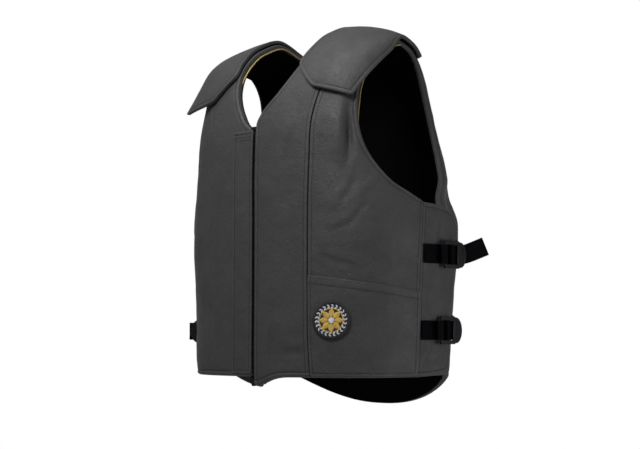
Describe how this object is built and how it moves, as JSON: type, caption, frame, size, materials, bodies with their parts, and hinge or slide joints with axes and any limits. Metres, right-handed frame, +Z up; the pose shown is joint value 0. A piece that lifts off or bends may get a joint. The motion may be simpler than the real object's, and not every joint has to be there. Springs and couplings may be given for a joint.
{
  "type": "bull riding vest",
  "caption": "Padded leather bull riding vest in its worn form, zip front, shoulder flaps, side panels held by webbing straps with ladder-lock buckles, one front pocket with a badge.",
  "frame": {"origin": "midway between the shoulders, where the wearer's shoulders carry the vest", "axes": "+Z up towards the shoulders, -Y out of the front, +X towards the wearer's left"},
  "size_m": [0.4537, 0.2786, 0.5099],
  "materials": {
    "leather": "soft matte grain",
    "lining": "matte knit",
    "piping": "woven",
    "webbing": "woven",
    "buckle_plastic": "satin",
    "embroidery": "raised thread",
    "zip_metal": "black oxide"
  },
  "bodies": {
    "root": {"back_centre": "leather", "back_lining": "lining", "back_side_left": "leather", "back_side_right": "leather", "badge": "embroidery", "buckle_lower_left": "buckle_plastic", "buckle_lower_right": "buckle_plastic", "buckle_upper_left": "buckle_plastic", "buckle_upper_right": "buckle_plastic", "front_centre_left": "leather", "front_centre_right": "leather", "front_lining_left": "lining", "front_lining_right": "lining", "front_side_left": "leather", "front_side_right": "leather", "piping_arm_back_left": "piping", "piping_arm_back_right": "piping", "piping_arm_left": "piping", "piping_arm_right": "piping", "piping_neck_back": "piping", "piping_neck_left": "piping", "piping_neck_right": "piping", "placket_strip": "leather", "pocket": "leather", "shoulder_flap_left": "leather", "shoulder_flap_right": "leather", "side_panel_left": "leather", "side_panel_right": "leather", "strap_back_lower_left": "webbing", "strap_back_lower_right": "webbing", "strap_back_upper_left": "webbing", "strap_back_upper_right": "webbing", "strap_lower_left": "webbing", "strap_lower_right": "webbing", "strap_upper_left": "webbing", "strap_upper_right": "webbing", "zip_guard": "leather", "zip_pin": "zip_metal", "zip_tape": "lining"}
  },
  "joints": []
}
